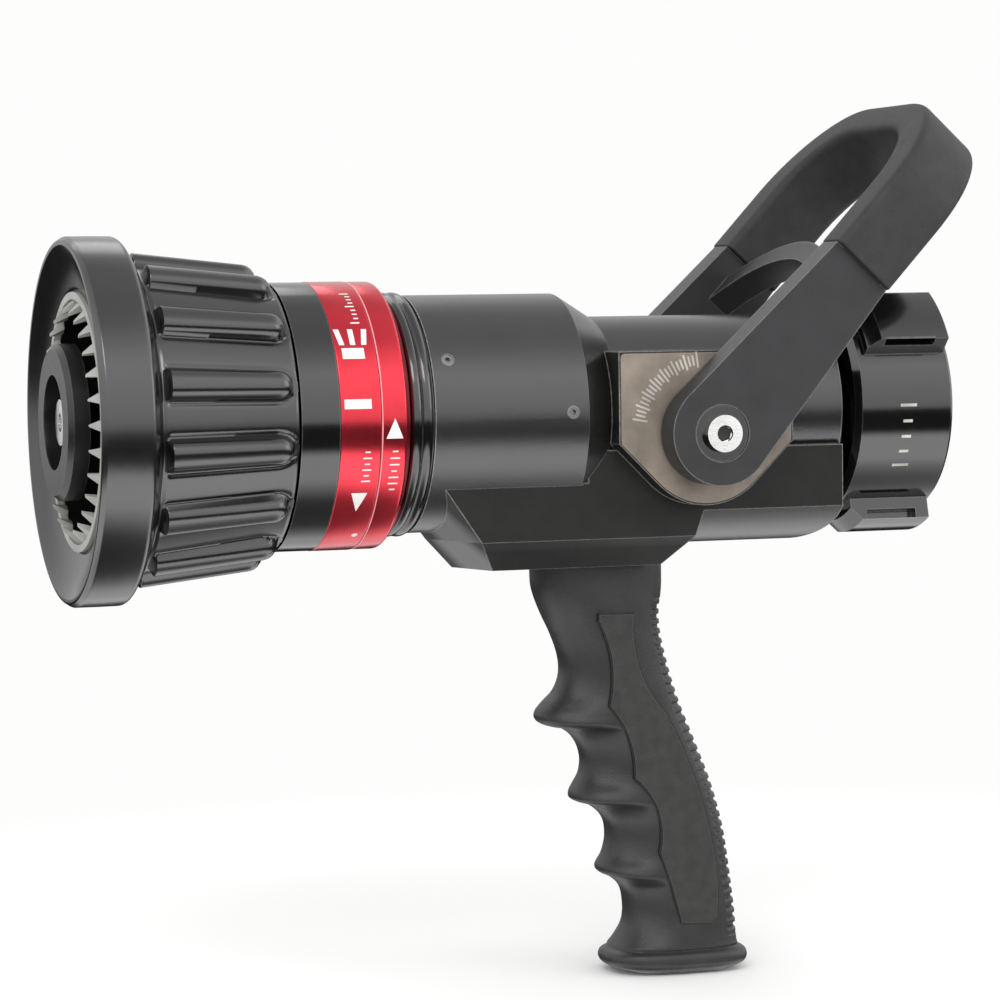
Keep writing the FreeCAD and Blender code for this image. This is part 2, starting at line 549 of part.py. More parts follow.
def panel_outline(grow):
    """Side panel of the grip, scalloped along its front edge."""
    g = grow
    return [(-105.4 - g, -59.2 + g), (-94.6 + g, -59.4 + g), (-93.2 + g, -75, -85.2 + g, -88.6),
            (-76, -109, -70.4 + g, -130), (-69.2 + g, -141, -69.6 + g, -150), (-71.4, -151.6 - g),
            (-80.6, -151.2 - g), (-83.6 - g, -140, -87 - g, -130), (-87.4 - g, -118, -94.6 - g, -107.6),
            (-95.6 - g, -98, -102.2 - g, -86), (-101.6 - g, -72, -105.4 - g, -61)]


make_valve_body()
make_body_trim()
make_valve_internals()
make_ball_and_stems()
make_bail()
make_barrel()
make_flow_group()
make_baffle()
make_pattern_group()
make_teeth()
make_swivel()
make_grip()

doc.recompute()
for obj in doc.Objects:
    if "Invalid" in obj.State or "Error" in obj.State:
        raise RuntimeError("not computed: " + obj.Label)
for obj in NODES:
    if obj.Shape.isNull() or not obj.Shape.isValid() or len(obj.Shape.Solids) != 1:
        raise RuntimeError("bad solid: %s (%d solids)" % (obj.Label, len(obj.Shape.Solids)))
    obj.Shape.exportStep("parts/%s.step" % obj.Label)
print(len(NODES), "nodes written")
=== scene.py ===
import bpy, bmesh, math
from mathutils import Matrix, Vector


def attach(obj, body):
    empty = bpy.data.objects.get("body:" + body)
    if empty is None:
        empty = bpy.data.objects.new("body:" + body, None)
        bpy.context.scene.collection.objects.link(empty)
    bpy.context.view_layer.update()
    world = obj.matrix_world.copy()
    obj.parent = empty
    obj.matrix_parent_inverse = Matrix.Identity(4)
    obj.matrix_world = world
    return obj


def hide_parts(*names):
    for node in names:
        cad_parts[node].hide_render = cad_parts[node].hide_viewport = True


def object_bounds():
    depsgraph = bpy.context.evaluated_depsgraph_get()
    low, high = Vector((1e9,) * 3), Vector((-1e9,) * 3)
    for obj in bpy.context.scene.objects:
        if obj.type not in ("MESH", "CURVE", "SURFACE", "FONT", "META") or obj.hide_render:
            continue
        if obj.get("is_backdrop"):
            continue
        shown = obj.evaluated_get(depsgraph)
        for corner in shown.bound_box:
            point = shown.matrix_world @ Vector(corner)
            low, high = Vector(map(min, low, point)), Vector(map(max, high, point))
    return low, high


# Looks for the fire hose nozzle.  The flow axis is X with the stream towards -X, and +Z is up.
# Shapes are written in millimetres and angles in degrees, and MM turns them into the frame's metres.
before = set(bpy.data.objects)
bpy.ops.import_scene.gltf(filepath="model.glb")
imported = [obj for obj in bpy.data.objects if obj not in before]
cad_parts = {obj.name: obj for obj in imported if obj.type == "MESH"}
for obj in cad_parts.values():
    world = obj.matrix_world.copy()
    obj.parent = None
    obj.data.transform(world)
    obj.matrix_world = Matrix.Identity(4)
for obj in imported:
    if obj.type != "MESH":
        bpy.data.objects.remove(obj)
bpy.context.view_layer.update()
MM = 0.001
PIVOT_X, PIVOT_Z = -79.1, -6.0
PIVOT = Vector((PIVOT_X, 0, PIVOT_Z)) * MM
SIDES = (("near", -1), ("far", 1))


# ------------------------------------------------------------------ materials
GRAIN_DEPTH = 0.0003
EDGE_REACH = 0.0007
FINE_GRAIN = 2600.0
CAST_ROUGH, CAST_SPECULAR = 0.25, 0.95
SANDY_ROUGH, SANDY_SPECULAR = 0.50, 0.28


def add_node(tree, kind, inputs=None, **options):
    """Adds a shader node, with its options set and values in its named inputs."""
    made = tree.nodes.new("ShaderNode" + kind)
    for option, value in options.items():
        setattr(made, option, value)
    for socket, value in (inputs or {}).items():
        made.inputs[socket].default_value = value
    return made


def start_material(name):
    mat = bpy.data.materials.new(name)
    mat.use_nodes = True
    return mat, mat.node_tree, mat.node_tree.nodes["Principled BSDF"]


def edge_wear_and_highlight(tree, base, grain, wear_and_highlight, wear_and_highlight_colour):
    """Mixes a pale colour over the base colour along sharp edges, broken up by the grain: partly wear, partly a painted
    highlight standing in for the light caught by rounded edges.
    """
    link = tree.links.new
    facing = add_node(tree, "NewGeometry")
    turned = add_node(tree, "Bevel", {"Radius": EDGE_REACH}, samples=6)
    flat = add_node(tree, "VectorMath", operation="DOT_PRODUCT")
    link(turned.outputs["Normal"], flat.inputs[0])
    link(facing.outputs["Normal"], flat.inputs[1])
    edge = add_node(tree, "MapRange", {"From Min": 0.97, "From Max": 0.86, "To Max": 1.6})
    link(flat.outputs["Value"], edge.inputs["Value"])
    wear_and_highlight_mask = add_node(tree, "Math", operation="MULTIPLY")
    link(edge.outputs["Result"], wear_and_highlight_mask.inputs[0])
    link(grain.outputs["Fac"], wear_and_highlight_mask.inputs[1])
    amount = add_node(tree, "Math", {1: wear_and_highlight}, operation="MULTIPLY")
    link(wear_and_highlight_mask.outputs[0], amount.inputs[0])
    mix = add_node(tree, "Mix", data_type="RGBA")
    mix.inputs["B"].default_value = (*wear_and_highlight_colour, 1)
    link(amount.outputs[0], mix.inputs["Factor"])
    link(base, mix.inputs["A"])
    return mix.outputs["Result"]


def material(name, colour, rough, metal=0.0, grain=600.0, bump=0.15, vary=0.06, wear_and_highlight=0.0,
             wear_and_highlight_colour=(0.2, 0.2, 0.2), specular=0.5):
    """Moulded, cast or anodised surface: grain bump, roughness and colour variation, pale edges that are partly wear
    and partly painted highlight.
    """
    mat, tree, shader = start_material(name)
    link = tree.links.new
    shader.inputs["Metallic"].default_value = metal
    shader.inputs["Specular IOR Level"].default_value = specular
    coord = add_node(tree, "TexCoord")
    broad = add_node(tree, "TexNoise", {"Scale": grain * 0.12, "Detail": 5})
    small = add_node(tree, "TexNoise", {"Scale": grain, "Detail": 6})
    tiny = add_node(tree, "TexNoise", {"Scale": FINE_GRAIN})
    for noise in (broad, small, tiny):
        link(coord.outputs["Object"], noise.inputs["Vector"])
    tone = add_node(tree, "ValToRGB")
    dark, light = tone.color_ramp.elements
    dark.position, light.position = 0.3, 0.7
    dark.color = (*[c * (1 - vary * 2) for c in colour], 1)
    light.color = (*[min(1, c * (1 + vary * 2)) for c in colour], 1)
    link(broad.outputs["Fac"], tone.inputs["Fac"])
    base = tone.outputs["Color"]
    # pale edges: partly wear, partly a painted highlight along the sharp edges
    if wear_and_highlight:
        base = edge_wear_and_highlight(tree, base, small, wear_and_highlight, wear_and_highlight_colour)
    link(base, shader.inputs["Base Color"])
    gloss = add_node(tree, "MapRange", {"To Min": rough * 0.85, "To Max": rough * 1.2})
    link(small.outputs["Fac"], gloss.inputs["Value"])
    link(gloss.outputs["Result"], shader.inputs["Roughness"])
    if bump:
        both = add_node(tree, "Math", operation="ADD")
        link(small.outputs["Fac"], both.inputs[0])
        link(tiny.outputs["Fac"], both.inputs[1])
        relief = add_node(tree, "Bump", {"Strength": bump, "Distance": GRAIN_DEPTH})
        link(both.outputs[0], relief.inputs["Height"])
        link(relief.outputs["Normal"], shader.inputs["Normal"])
    return mat


def roughen_cast_faces(mat):
    """Turned surfaces stay smooth; the flat cast faces of the keel and foot are sandy and matt."""
    tree = mat.node_tree
    link, shader = tree.links.new, tree.nodes["Principled BSDF"]
    facing, coord = add_node(tree, "NewGeometry"), add_node(tree, "TexCoord")
    roundness = add_node(tree, "VectorMath", operation="DOT_PRODUCT")
    for k, source in enumerate((facing.outputs["Normal"], coord.outputs["Object"])):
        across = add_node(tree, "VectorMath", {1: (0, 1, 1)}, operation="MULTIPLY")
        unit = add_node(tree, "VectorMath", operation="NORMALIZE")
        link(source, across.inputs[0])
        link(across.outputs["Vector"], unit.inputs[0])
        link(unit.outputs["Vector"], roundness.inputs[k])
    for socket, sandy, turned in (("Specular IOR Level", SANDY_SPECULAR, CAST_SPECULAR),
                                  ("Roughness", SANDY_ROUGH, CAST_ROUGH)):
        spread = add_node(tree, "MapRange",
                          {"From Min": 0.965, "From Max": 0.992, "To Min": sandy, "To Max": turned})
        link(roundness.outputs["Value"], spread.inputs["Value"])
        link(spread.outputs["Result"], shader.inputs[socket])


# the pale edge colour on each finish below is partly wear and partly a painted edge highlight
CAST = material("cast_black", (0.010, 0.010, 0.0095), CAST_ROUGH, 0.0, 1100, 0.10, 0.10,
                wear_and_highlight=0.9, wear_and_highlight_colour=(0.34, 0.33, 0.30), specular=CAST_SPECULAR)
roughen_cast_faces(CAST)
BOSS = material("boss_face", (0.205, 0.172, 0.140), 0.55, 0.0, 900, 0.25, 0.14,
                wear_and_highlight=0.5, wear_and_highlight_colour=(0.28, 0.26, 0.22), specular=0.4)
ARM = material("arm_black", (0.024, 0.024, 0.026), 0.42, 0.0, 900, 0.10, 0.07,
               wear_and_highlight=0.8, wear_and_highlight_colour=(0.24, 0.235, 0.22), specular=0.4)
GLOSS = material("anodised_black", (0.003, 0.003, 0.003), 0.12, 0.0, 500, 0.02, 0.08,
                 wear_and_highlight=0.35, wear_and_highlight_colour=(0.25, 0.25, 0.24), specular=0.9)
SATIN = material("satin_black", (0.007, 0.007, 0.007), 0.30, 0.0, 700, 0.06, 0.08,
                 wear_and_highlight=0.5, wear_and_highlight_colour=(0.16, 0.16, 0.15), specular=0.5)
RED = material("anodised_red", (0.60, 0.034, 0.052), 0.17, 0.88, 700, 0.03, 0.04,
               wear_and_highlight=0.2, wear_and_highlight_colour=(0.9, 0.35, 0.35), specular=1.0)
SEAM = material("ring_seam", (0.80, 0.30, 0.31), 0.35, 0.0, 900, 0.05, 0.05)
WHITE = material("mark_white", (0.74, 0.72, 0.70), 0.5, 0.0, 900, 0.05, 0.03)
GREY_MARK = material("mark_grey", (0.42, 0.41, 0.37), 0.5, 0.0, 900, 0.1, 0.2)
RUBBER = material("bumper_rubber", (0.005, 0.005, 0.005), 0.19, 0.0, 420, 0.03, 0.10,
                  wear_and_highlight=0.15, wear_and_highlight_colour=(0.07, 0.07, 0.07), specular=1.0)
MATT = material("bail_rubber", (0.026, 0.026, 0.027), 0.60, 0.0, 1500, 0.25, 0.08,
                wear_and_highlight=0.35, wear_and_highlight_colour=(0.10, 0.10, 0.10), specular=0.35)
PLASTIC = material("grip_plastic", (0.018, 0.018, 0.0175), 0.42, 0.0, 1400, 0.25, 0.08,
                   wear_and_highlight=0.4, wear_and_highlight_colour=(0.09, 0.09, 0.085), specular=0.45)
INLAY = material("grip_panel", (0.024, 0.024, 0.023), 0.52, 0.0, 2200, 0.40, 0.12,
                 wear_and_highlight=0.4, wear_and_highlight_colour=(0.10, 0.10, 0.095), specular=0.4)
TEETH = material("fog_plastic", (0.34, 0.34, 0.32), 0.45, 0.0, 700, 0.12, 0.08)
STEEL = material("steel", (0.80, 0.80, 0.79), 0.14, 1.0, 600, 0.04, 0.05)
DULL = material("dull_steel", (0.20, 0.20, 0.195), 0.28, 1.0, 900, 0.1, 0.1)
SEAL = material("seal_rubber", (0.008, 0.008, 0.008), 0.5, 0.0, 900, 0.1, 0.1)
SEAT = material("seat_plastic", (0.62, 0.62, 0.60), 0.35, 0.0, 500, 0.05, 0.04)
BRONZE = material("bronze", (0.45, 0.28, 0.12), 0.38, 1.0, 1200, 0.2, 0.12)

LOOKS = {
    CAST: ["valve_body"], ARM: ["bail_frame"],
    GLOSS: ["barrel", "tail_stem", "baffle_stem", "orifice_sleeve", "swivel_coupling", "bead_ring",
            "flow_sleeve", "bail_washer_near", "bail_washer_far"],
    SATIN: ["shaper", "baffle_head"],
    RED: ["flow_band", "index_ring"], RUBBER: ["bumper"], MATT: ["bail_sleeve"], PLASTIC: ["grip_shell"],
    INLAY: ["grip_panel_near", "grip_panel_far"], TEETH: ["fog_teeth"],
    STEEL: ["baffle_screw", "bail_screw_near", "bail_screw_far", "stem_near", "stem_far", "valve_ball",
            "seat_spring", "swivel_retainer", "swivel_plug", "grip_stud"],
    DULL: ["set_screw_front", "set_screw_rear"],
    SEAL: ["thrust_washer_near", "thrust_washer_far", "barrel_o_ring", "stem_o_ring_near", "stem_o_ring_far",
           "hose_gasket"],
    SEAT: ["front_seat", "rear_seat", "pattern_guide"], BRONZE: ["stem_bushing_near", "stem_bushing_far"],
}
# rounding of the CAD pieces' sharp edges, in mm
EDGE = {"valve_body": 0.7, "bail_frame": 1.3, "swivel_coupling": 0.6, "flow_sleeve": 0.4, "baffle_head": 0.5,
        "grip_panel_near": 0.35, "grip_panel_far": 0.35, "bail_screw_near": 0.5, "bail_screw_far": 0.5,
        "fog_teeth": 0.25, "bead_ring": 0.2, "baffle_screw": 0.3, "swivel_plug": 0.2, "set_screw_front": 0.2,
        "set_screw_rear": 0.2, "bail_washer_near": 0.2, "bail_washer_far": 0.2, "tail_stem": 0.3,
        "barrel": 0.4}
SHARP = math.radians(28)


def add_bevel(obj, name, width, segments, limit):
    bevel = obj.modifiers.new(name, "BEVEL")
    bevel.width, bevel.segments, bevel.limit_method, bevel.angle_limit = width, segments, "ANGLE", limit


for look, names in LOOKS.items():
    for name in names:
        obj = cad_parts[name]
        obj.data.materials.clear()
        obj.data.materials.append(look)
        if name in EDGE:
            add_bevel(obj, "edges", EDGE[name] * MM, 3, SHARP)


# -------------------------------------------------------------------- helpers
def finish_mesh(name, bm, look, body, *stands_for, smooth=50, slot=None):
    """Turns the bmesh into an object that rides a body, and stands for the named CAD pieces."""
    bmesh.ops.recalc_face_normals(bm, faces=bm.faces)
    mesh = bpy.data.meshes.new(name)
    bm.to_mesh(mesh)
    bm.free()
    mesh.materials.append(look)
    obj = bpy.data.objects.new(name, mesh)
    bpy.context.collection.objects.link(obj)
    for poly in mesh.polygons:
        poly.use_smooth = True
    with bpy.context.temp_override(object=obj, active_object=obj, selected_objects=[obj],
                                   selected_editable_objects=[obj]):
        bpy.ops.object.shade_smooth_by_angle(angle=math.radians(smooth))
    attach(obj, body)
    if stands_for:
        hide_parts(*stands_for)
    return obj


def grid_surface(bm, rows, close_rows=False, close_cols=True):
    """Faces between rows of points; each row is one loop round the piece."""
    verts = [[bm.verts.new(p) for p in row] for row in rows]
    count, width = len(verts), len(verts[0])
    for i in range(count if close_rows else count - 1):
        a, b = verts[i], verts[(i + 1) % count]
        for j in range(width if close_cols else width - 1):
            k = (j + 1) % width
            bm.faces.new((a[j], a[k], b[k], b[j]))
    return verts


def lathe(name, profile, look, body, *stands_for, steps=192, radius_of=None, smooth=40, slot=None):
    """Closed profile of (x, r) in mm turned about the flow axis; radius_of may vary r with the angle."""
    bm = bmesh.new()
    rows = []
    for x, r in profile:
        row = []
        for k in range(steps):
            t = 2 * math.pi * k / steps
            q = radius_of(x, r, t) if radius_of else r
            row.append(Vector((x, -q * math.cos(t), q * math.sin(t))) * MM)
        rows.append(row)
    grid_surface(bm, rows, close_rows=True)
    return finish_mesh(name, bm, look, body, *stands_for, smooth=smooth, slot=slot)


def rounded(points, radius, steps=5):
    """Closed outline with each corner rounded; a point may carry its own radius."""
    out, n = [], len(points)
    straight = math.radians(176)
    for i in range(n):
        p, a, b = (Vector(points[j % n][:2]) for j in (i, i - 1, i + 1))
        r = points[i][2] if len(points[i]) > 2 else radius
        da, db = (a - p), (b - p)
        angle = da.angle(db)
        if r <= 0 or angle > straight:
            out.append(tuple(p))
            continue
        reach = min(r / math.tan(angle / 2), da.length * 0.49, db.length * 0.49)
        s, e = p + da.normalized() * reach, p + db.normalized() * reach
        for k in range(steps + 1):
            t = k / steps
            out.append(tuple(s * (1 - t) ** 2 + p * 2 * t * (1 - t) + e * t * t))
    return out


def smoothstep(low, high, value):
    t = max(0.0, min(1.0, (value - low) / (high - low)))
    return t * t * (3 - 2 * t)


def curve_value(table, at):
    """Smooth Catmull-Rom curve through (position, value) pairs, listed from the highest position down."""
    n = len(table)
    if at >= table[0][0]:
        return table[0][1]
    if at <= table[-1][0]:
        return table[-1][1]
    for i in range(n - 1):
        if table[i][0] >= at >= table[i + 1][0]:
            p0, p1, p2, p3 = (table[max(0, min(n - 1, j))] for j in (i - 1, i, i + 1, i + 2))
            h = p2[0] - p1[0]
            t = (at - p1[0]) / h
            m1 = (p2[1] - p0[1]) / (p2[0] - p0[0]) * h
            m2 = (p3[1] - p1[1]) / (p3[0] - p1[0]) * h
            return ((2 * t ** 3 - 3 * t * t + 1) * p1[1] + (t ** 3 - 2 * t * t + t) * m1
                    + (3 * t * t - 2 * t ** 3) * p2[1] + (t ** 3 - t * t) * m2)


# ------------------------------------------------------------- ribbed bumper
RIBS, RIB_PHASE, RIB_HALF = 14, math.radians(14.5), 4.7
RIB_MEAN_R, RIB_END = 44.0, -207.2
RIB_TOP_FRONT, RIB_TOP_REAR = (-237.0, 47.0), (-203.8, 43.3)
SKIRT_FRONT, SKIRT_REAR = (-237.2, 43.3), (-201.0, 38.6)
BORE_R = 36.62


def line_at(start, end, x):
    """Radius at x on the straight line between two (x, r) points."""
    return start[1] + (x - start[0]) * (end[1] - start[1]) / (end[0] - start[0])


def rib_radius(x, r, t):
    """Adds the raised ribs to the skirt: domed bars with a rounded rear end and a fine crease round them."""
    if not (-240 < x < -201.5 and r > 37.5):
        return r
    pitch = 2 * math.pi / RIBS
    off = (t - RIB_PHASE + pitch / 2) % pitch - pitch / 2
    distance = math.hypot(off * RIB_MEAN_R, max(0.0, x - RIB_END))
    share = min(1.0, distance / RIB_HALF)
    lift = (1 - share ** 2.6) ** 0.62
    crease = 0.4 * math.exp(-((distance - RIB_HALF - 0.5) / 0.8) ** 2)
    ahead = smoothstep(-239.6, -238.4, x)
    return r + (max(0.0, line_at(RIB_TOP_FRONT, RIB_TOP_REAR, x) - r) * lift - crease) * ahead


def make_bumper():
    outline = [(-255.0, 36.7, 0), (-255.25, 38.0, 0)]
    # the front face is a cone, slightly hollowed
    for k in range(1, 7):
        t = 0.15 * k
        outline.append((-255.3 - 3.75 * t + 0.55 * math.sin(math.pi * (1 - t)), 38.2 + 10.9 * t, 0))
    outline += [(-259.2, 49.6, 0.5), (-259.25, 50.9, 0.7), (-257.7, 51.96, 1.0), (-251, 51.98, 0),
                (-244.7, 51.9, 1.8), (-242.9, 49.0, 1.0), (-241.9, 45.0, 1.4), (-240.6, 43.2, 0.8)]
    profile = rounded(outline + [(-239.6, 43.25, 0)], 0.8)[:-1]
    stations = [-239.6 + k * 0.3 for k in range(6)] + [-237.8 + k * 0.905 for k in range(41)]
    profile += [(x, line_at(SKIRT_FRONT, SKIRT_REAR, x)) for x in stations]
    profile += [(-201.1, 38.3), (-200.95, 37.6), (-200.95, BORE_R), (-254.9, BORE_R)]
    lathe("bumper_moulded", profile, RUBBER, "pattern_sleeve", "bumper", steps=RIBS * 40,
          radius_of=rib_radius, smooth=60, slot="bumper_rubber")


# --------------------------------------------------------------- red rings
BAND_R, INDEX_R, SWIVEL_MARK_R = 38.5, 38.4, 32.6


def make_red_rings():
    band = rounded([(-189.35, BAND_R, 0.5), (-177.6, BAND_R, 0.35), (-177.6, 35.5, 0), (-189.35, 35.5, 0)], 0)
    lathe("flow_band_turned", band, RED, "flow_selector", "flow_band", slot="anodised_red")
    index = rounded([(-177.2, INDEX_R, 0.35), (-170.4, INDEX_R, 1.2), (-168.6, 36.2, 0.6), (-168.4, 33.2, 0),
                     (-177.2, 33.2, 0)], 0)
    lathe("index_ring_turned", index, RED, "nozzle_body", "index_ring", slot="anodised_red")
    seam = [(-177.42, 38.3), (-177.3, 38.44), (-177.12, 38.44), (-177.12, 37.8), (-177.42, 37.8)]
    lathe("ring_seam", seam, SEAM, "nozzle_body")


MARK_DEPTH, MARK_LIFT, MARK_STEP = 0.1, 0.06, 2.0


def wrapped_mark(name, outline, radius, look, body):
    """Thin printed mark wrapped on a cylinder; outline in (x mm, degrees above -Y)."""
    bm = bmesh.new()
    bm.faces.new([bm.verts.new((x, a, 0)) for x, a in outline])
    low, high = min(a for _, a in outline), max(a for _, a in outline)
    at = math.floor(low / MARK_STEP) * MARK_STEP + MARK_STEP
    while at < high:
        bmesh.ops.bisect_plane(bm, geom=bm.verts[:] + bm.edges[:] + bm.faces[:], plane_co=(0, at, 0),
                               plane_no=(0, 1, 0))
        at += MARK_STEP
    top = bmesh.ops.extrude_face_region(bm, geom=bm.faces[:])
    for v in [g for g in top["geom"] if isinstance(g, bmesh.types.BMVert)]:
        v.co.z = 1.0
    for v in bm.verts:
        t, r = math.radians(v.co.y), radius - MARK_DEPTH + (MARK_DEPTH + MARK_LIFT) * v.co.z
        v.co = Vector((v.co.x, -r * math.cos(t), r * math.sin(t))) * MM
    return finish_mesh(name, bm, look, body, smooth=30)


def rectangle(x, a, width, height, lean=0.0):
    return [(x - width / 2, a - height / 2), (x + width / 2, a - height / 2),
            (x + width / 2 + lean, a + height / 2), (x - width / 2 + lean, a + height / 2)]


def band_mark(name, outline):
    wrapped_mark("mark_" + name, outline, BAND_R, WHITE, "flow_selector")


def index_mark(name, outline):
    wrapped_mark("mark_" + name, outline, INDEX_R, WHITE, "nozzle_body")


def make_marks():
    # selector band: a bar, an arrow, a round dot, a spray symbol and a graduated scale
    band_mark("bar", rectangle(-184.3, 6.6, 7.8, 4.0))
    band_mark("arrow_down", [(-185.0, -32.2), (-180.4, -32.2), (-182.7, -42)])
    turns = [k * math.pi / 8 for k in range(16)]
    band_mark("dot", [(-180.6 + 0.9 * math.cos(t), -59 + 1.4 * math.sin(t)) for t in turns])
    band_mark("spray_base", rectangle(-184.2, 28.5, 6.4, 5.0))
    for k, (x, lean) in enumerate(((-186.8, -0.9), (-183.9, 0.0), (-181.0, 0.9))):
        band_mark("spray_%d" % k, rectangle(x + lean * 0.3, 36.5, 1.5, 8.0, lean))
    for k in range(9):
        wide = 2.6 if k % 4 == 0 else 1.4
        band_mark("scale_%d" % k, rectangle(-181.2 + (1.4 - wide) / 2, 44 + k * 2.6, wide, 0.7))
    for k in range(6):
        band_mark("tick_%d" % k, rectangle(-181.4, -13.5 - k * 2.6, 2.6 if k % 2 else 1.5, 0.6))
    # index ring: pointer and a second scale
    index_mark("arrow_up", [(-176.2, -8), (-171.3, -8), (-173.7, 0.4)])
    for k in range(7):
        index_mark("index_%d" % k, rectangle(-173.4, -13.5 - k * 2.9, 2.8 if k % 3 else 1.6, 0.6))
    # swivel: plain witness ticks
    for k in range(5):
        tick = rectangle(-14.6 - k * 0.15, 0.5 - k * 8.2, 5.2 if k in (0, 4) else 3.0, 1.5)
        wrapped_mark("mark_swivel_%d" % k, tick, SWIVEL_MARK_R, GREY_MARK, "swivel")


# ---------------------------------------------------------------- pistol grip
# outlines of the grip from the side as (z, x), and its half width as (z, y)
GRIP_FRONT = [(-44.9, -120.6), (-52, -120.3), (-58.5, -118.9), (-65.5, -115.8), (-72, -113.6), (-77.5, -113.3),
              (-82.5, -115.2), (-86, -118.6), (-88.4, -120.5), (-90.6, -120.6), (-92.4, -118.4), (-93.4, -113.6),
              (-96.6, -109.3), (-101.8, -107.1), (-106.8, -107.4), (-110.5, -109.2), (-113.2, -110.2), (-115.2, -109.4),
              (-116.6, -105.0), (-120.3, -100.6), (-125.4, -99.3), (-131, -100.2), (-135.2, -102.1), (-137.2, -101.2),
              (-138.6, -98.2), (-141.6, -95.0), (-146.6, -93.9), (-152.4, -94.2), (-157, -96.6), (-158.9, -98.2),
              (-160.2, -100.0), (-161.8, -101.0), (-163.4, -100.8), (-164.9, -99.2), (-166.2, -94.5)]
GRIP_REAR = [(-44.9, -82.4), (-53.6, -82.5), (-63.7, -82.5), (-74.3, -80.3), (-85.8, -76.8), (-98.6, -71.6),
             (-110.9, -66.8), (-124, -63.2), (-137, -61.2), (-150.2, -59.6), (-157.6, -59.2), (-159.2, -58.6),
             (-160.3, -57.0), (-161.8, -56.2), (-163.4, -56.3), (-164.9, -57.6), (-166.2, -61)]
GRIP_WIDTH = [(-44.9, 13.2), (-56, 13.6), (-72, 14.0), (-90, 14.4), (-120, 14.5), (-150, 14.5),
              (-159.2, 14.6), (-160.5, 15.5), (-162.3, 16.0), (-164.4, 15.6), (-166.2, 13.2)]


def through(a, m, b, steps=7):
    """Points after a on the circular arc from a through m to b."""
    a, m, b = Vector(a), Vector(m), Vector(b)
    d = 2 * (a.x * (m.y - b.y) + m.x * (b.y - a.y) + b.x * (a.y - m.y))
    aa, mm, bb = a.length_squared, m.length_squared, b.length_squared
    c = Vector(((aa * (m.y - b.y) + mm * (b.y - a.y) + bb * (a.y - m.y)) / d,
                (aa * (b.x - m.x) + mm * (a.x - b.x) + bb * (m.x - a.x)) / d))
    sweep = sum((q - c).angle_signed(p - c) for p, q in ((a, m), (m, b)))
    u = a - c
    return [tuple(c + Vector((u.x * math.cos(t) - u.y * math.sin(t), u.x * math.sin(t) + u.y * math.cos(t))))
            for t in (sweep * k / steps for k in range(1, steps + 1))]


# middle line of the finger ridges, with the scoops left out
GRIP_SPINE = [(-44.9, -119.5), (-75, -116), (-100, -109.5), (-130, -101), (-168, -96)]
GRIP_TOP, GRIP_BOTTOM = -44.95, -166.3
GRIP_AROUND, GRIP_LEVELS = 224, 420
RIB_PITCH = 2.9
PANEL_INSIDE, PANEL_FACE = 13.2, 14.56
# how deeply the flanks are scooped between the finger ridges, by height
SCOOP = [(-44.9, 0), (-56, 0.25), (-66, 0.8), (-77, 1), (-84, 0.75), (-89, 0.2),
         (-91.5, 0), (-94.5, 0.7), (-102, 1), (-109, 0.75), (-112.5, 0.15), (-115, 0),
         (-118, 0.7), (-125, 1), (-132, 0.7), (-135.5, 0.15), (-138, 0), (-141, 0.7),
         (-148, 1), (-154, 0.6), (-159, 0.05), (-161, 0)]


def grip_section(z):
    """One level of the grip: an oval that is scooped by the fingers in front and ribbed at the back."""
    front, rear, width = (curve_value(table, z) for table in (GRIP_FRONT, GRIP_REAR, GRIP_WIDTH))
    front, rear = front + 1.0 * smoothstep(-50, -60, z), rear - 0.8 * smoothstep(-50, -60, z)
    middle = curve_value(GRIP_SPINE, z) * 0.42 + rear * 0.58
    scoop = curve_value(SCOOP, z)
    lip = 0.7 * math.exp(-((z + 159.8) / 0.55) ** 2)
    row = []
    for k in range(GRIP_AROUND):
        t = 2 * math.pi * k / GRIP_AROUND
        c, s = math.cos(t), math.sin(t)
        power = 2.8 if c < 0 else 3.3
        sx = math.copysign(abs(c) ** (2 / power), c)
        sy = math.copysign(abs(s) ** (2 / power), s)
        x = middle + sx * ((middle - front) if c < 0 else (rear - middle))
        y = sy * width
        if c < 0:
            y *= 1 - 0.30 * scoop * smoothstep(0.22, 0.80, -sx)
        if c > 0 and -156.5 < z < -55:
            # moulded ribs on the backstrap, wrapping on to both flanks
            band = smoothstep(0.66, 0.72, sx) * smoothstep(-156.5, -155, z) * (1 - smoothstep(-56.5, -55, z))
            wave = smoothstep(-0.25, 0.25, math.cos(2 * math.pi * z / RIB_PITCH))
            x -= 0.55 * band * wave * abs(c)
            y *= 1 - 0.05 * band * wave - 0.018 * band
        y -= math.copysign(lip, y) * (1 if abs(sy) > 0.3 else abs(sy) / 0.3)
        x -= math.copysign(lip * abs(c), c)
        row.append(Vector((x, y, z)) * MM)
    return row


def make_grip():
    bm = bmesh.new()
    levels = [GRIP_TOP + (k / GRIP_LEVELS) * (GRIP_BOTTOM - GRIP_TOP) for k in range(GRIP_LEVELS + 1)]
    verts = grid_surface(bm, [grip_section(z) for z in levels])
    bm.faces.new(verts[0])
    bm.faces.new(verts[-1])
    finish_mesh("grip_moulded", bm, PLASTIC, "nozzle_body", "grip_shell", smooth=55, slot="grip_plastic")


